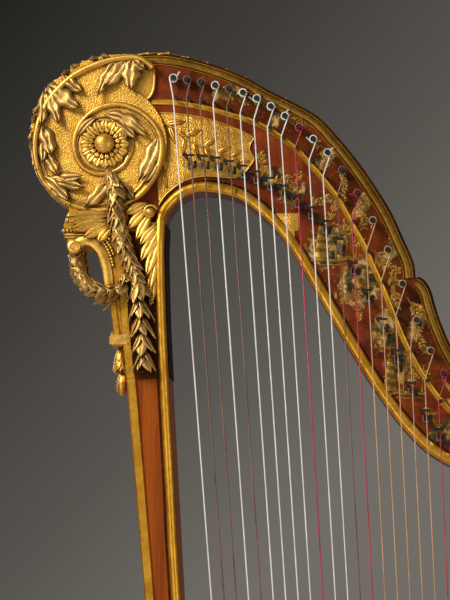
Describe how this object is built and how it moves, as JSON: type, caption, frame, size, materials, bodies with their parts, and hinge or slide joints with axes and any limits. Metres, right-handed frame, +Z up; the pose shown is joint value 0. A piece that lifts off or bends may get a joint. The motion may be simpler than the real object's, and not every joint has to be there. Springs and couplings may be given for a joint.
{
  "type": "single-action pedal harp with hooks",
  "caption": "Upright pedal harp: leaning column with carved scroll, curved lacquered neck, staved soundbox, hooks and pedals.",
  "frame": {"origin": "on the floor, under the middle of the harp's box", "axes": "+Z up, +X from the column towards the player, +Y across, away from the side that the strings are on"},
  "size_m": [0.7122, 0.384, 1.6233],
  "materials": {
    "gilding": "carved wood, water gilded, burnished and worn",
    "red_lacquer": "red lacquer with gilt decoration, gloss",
    "varnish": "translucent orange-brown varnish, gloss",
    "walnut": "oiled, satin",
    "spruce": "varnished spruce, satin",
    "iron": "blackened iron, worn",
    "steel": "filed steel",
    "brass": "aged brass",
    "bone": "bone, polished",
    "gut_white": "gut string",
    "gut_red": "gut string, dyed red",
    "gut_dark": "overspun silk string",
    "gut_tan": "gut string, undyed"
  },
  "bodies": {
    "frame": {"base_box": "red_lacquer", "base_bottom": "walnut", "feet": "gilding", "notch_rail": "brass", "pedal_shaft": "steel", "pedal_springs": "steel", "column": "varnish", "column_mouldings": "gilding", "column_foot": "gilding", "capital": "gilding", "scroll": "gilding", "scroll_mouldings": "gilding", "rosettes": "gilding", "garlands": "gilding", "acanthus_leaves": "gilding", "neck": "red_lacquer", "neck_mouldings": "gilding", "neck_cover": "walnut", "cover_screws": "brass", "tuning_pins": "iron", "nut_pins": "iron", "sillets": "steel", "hook_plates": "iron", "strings_white": "gut_white", "strings_red": "gut_red", "strings_dark": "gut_dark", "strings_tan": "gut_tan", "soundboard": "spruce", "board_edging": "gilding", "string_bar": "walnut", "string_buttons": "bone", "back_staves": "varnish", "ribs": "spruce", "shoulder_block": "walnut"},
    "pedal_d": {"pedal_d": "iron"},
    "rod_d": {"rod_d": "steel"},
    "hooks_d": {"hooks_d": "iron"},
    "pedal_c": {"pedal_c": "iron"},
    "rod_c": {"rod_c": "steel"},
    "hooks_c": {"hooks_c": "iron"},
    "pedal_b": {"pedal_b": "iron"},
    "rod_b": {"rod_b": "steel"},
    "hooks_b": {"hooks_b": "iron"},
    "pedal_e": {"pedal_e": "iron"},
    "rod_e": {"rod_e": "steel"},
    "hooks_e": {"hooks_e": "iron"},
    "pedal_f": {"pedal_f": "iron"},
    "rod_f": {"rod_f": "steel"},
    "hooks_f": {"hooks_f": "iron"},
    "pedal_g": {"pedal_g": "iron"},
    "rod_g": {"rod_g": "steel"},
    "hooks_g": {"hooks_g": "iron"},
    "pedal_a": {"pedal_a": "iron"},
    "rod_a": {"rod_a": "steel"},
    "hooks_a": {"hooks_a": "iron"}
  },
  "joints": [
    {"name": "press_d", "type": "hinge", "parent": "frame", "child": "pedal_d", "pos_m": [-0.191, -0.006, 0.075], "axis": [0, 1, 0], "range_deg": [0, 5.5], "stiffness_Nm_per_rad": 12, "springref_deg": -17.19},
    {"name": "pull_d", "type": "slide", "parent": "frame", "child": "rod_d", "axis": [0.0698, 0, -0.9976], "range_m": [0, 0.0039]},
    {"name": "hook_d", "type": "slide", "parent": "frame", "child": "hooks_d", "axis": [0, 1, 0], "range_m": [0, 0.0033]},
    {"name": "press_c", "type": "hinge", "parent": "frame", "child": "pedal_c", "pos_m": [-0.191, 0, 0.075], "axis": [0, 1, 0], "range_deg": [0, 5.5], "stiffness_Nm_per_rad": 12, "springref_deg": -17.19},
    {"name": "pull_c", "type": "slide", "parent": "frame", "child": "rod_c", "axis": [0.0698, 0, -0.9976], "range_m": [0, 0.0039]},
    {"name": "hook_c", "type": "slide", "parent": "frame", "child": "hooks_c", "axis": [0, 1, 0], "range_m": [0, 0.0033]},
    {"name": "press_b", "type": "hinge", "parent": "frame", "child": "pedal_b", "pos_m": [-0.191, 0.006, 0.075], "axis": [0, 1, 0], "range_deg": [0, 5.5], "stiffness_Nm_per_rad": 12, "springref_deg": -17.19},
    {"name": "pull_b", "type": "slide", "parent": "frame", "child": "rod_b", "axis": [0.0698, 0, -0.9976], "range_m": [0, 0.0039]},
    {"name": "hook_b", "type": "slide", "parent": "frame", "child": "hooks_b", "axis": [0, 1, 0], "range_m": [0, 0.0033]},
    {"name": "press_e", "type": "hinge", "parent": "frame", "child": "pedal_e", "pos_m": [-0.191, 0.012, 0.075], "axis": [0, 1, 0], "range_deg": [0, 5.5], "stiffness_Nm_per_rad": 12, "springref_deg": -17.19},
    {"name": "pull_e", "type": "slide", "parent": "frame", "child": "rod_e", "axis": [0.0698, 0, -0.9976], "range_m": [0, 0.0039]},
    {"name": "hook_e", "type": "slide", "parent": "frame", "child": "hooks_e", "axis": [0, 1, 0], "range_m": [0, 0.0033]},
    {"name": "press_f", "type": "hinge", "parent": "frame", "child": "pedal_f", "pos_m": [-0.191, 0.018, 0.075], "axis": [0, 1, 0], "range_deg": [0, 5.5], "stiffness_Nm_per_rad": 12, "springref_deg": -17.19},
    {"name": "pull_f", "type": "slide", "parent": "frame", "child": "rod_f", "axis": [0.0698, 0, -0.9976], "range_m": [0, 0.0039]},
    {"name": "hook_f", "type": "slide", "parent": "frame", "child": "hooks_f", "axis": [0, 1, 0], "range_m": [0, 0.0033]},
    {"name": "press_g", "type": "hinge", "parent": "frame", "child": "pedal_g", "pos_m": [-0.191, 0.024, 0.075], "axis": [0, 1, 0], "range_deg": [0, 5.5], "stiffness_Nm_per_rad": 12, "springref_deg": -17.19},
    {"name": "pull_g", "type": "slide", "parent": "frame", "child": "rod_g", "axis": [0.0698, 0, -0.9976], "range_m": [0, 0.0039]},
    {"name": "hook_g", "type": "slide", "parent": "frame", "child": "hooks_g", "axis": [0, 1, 0], "range_m": [0, 0.0033]},
    {"name": "press_a", "type": "hinge", "parent": "frame", "child": "pedal_a", "pos_m": [-0.191, 0.03, 0.075], "axis": [0, 1, 0], "range_deg": [0, 5.5], "stiffness_Nm_per_rad": 12, "springref_deg": -17.19},
    {"name": "pull_a", "type": "slide", "parent": "frame", "child": "rod_a", "axis": [0.0698, 0, -0.9976], "range_m": [0, 0.0039]},
    {"name": "hook_a", "type": "slide", "parent": "frame", "child": "hooks_a", "axis": [0, 1, 0], "range_m": [0, 0.0033]}
  ],
  "couplings": [
    {"joint": "pull_d", "follows": "press_d", "m_per_rad": 0.04},
    {"joint": "hook_d", "follows": "press_d", "m_per_rad": 0.0343},
    {"joint": "pull_c", "follows": "press_c", "m_per_rad": 0.04},
    {"joint": "hook_c", "follows": "press_c", "m_per_rad": 0.0343},
    {"joint": "pull_b", "follows": "press_b", "m_per_rad": 0.04},
    {"joint": "hook_b", "follows": "press_b", "m_per_rad": 0.0343},
    {"joint": "pull_e", "follows": "press_e", "m_per_rad": 0.04},
    {"joint": "hook_e", "follows": "press_e", "m_per_rad": 0.0343},
    {"joint": "pull_f", "follows": "press_f", "m_per_rad": 0.04},
    {"joint": "hook_f", "follows": "press_f", "m_per_rad": 0.0343},
    {"joint": "pull_g", "follows": "press_g", "m_per_rad": 0.04},
    {"joint": "hook_g", "follows": "press_g", "m_per_rad": 0.0343},
    {"joint": "pull_a", "follows": "press_a", "m_per_rad": 0.04},
    {"joint": "hook_a", "follows": "press_a", "m_per_rad": 0.0343}
  ]
}
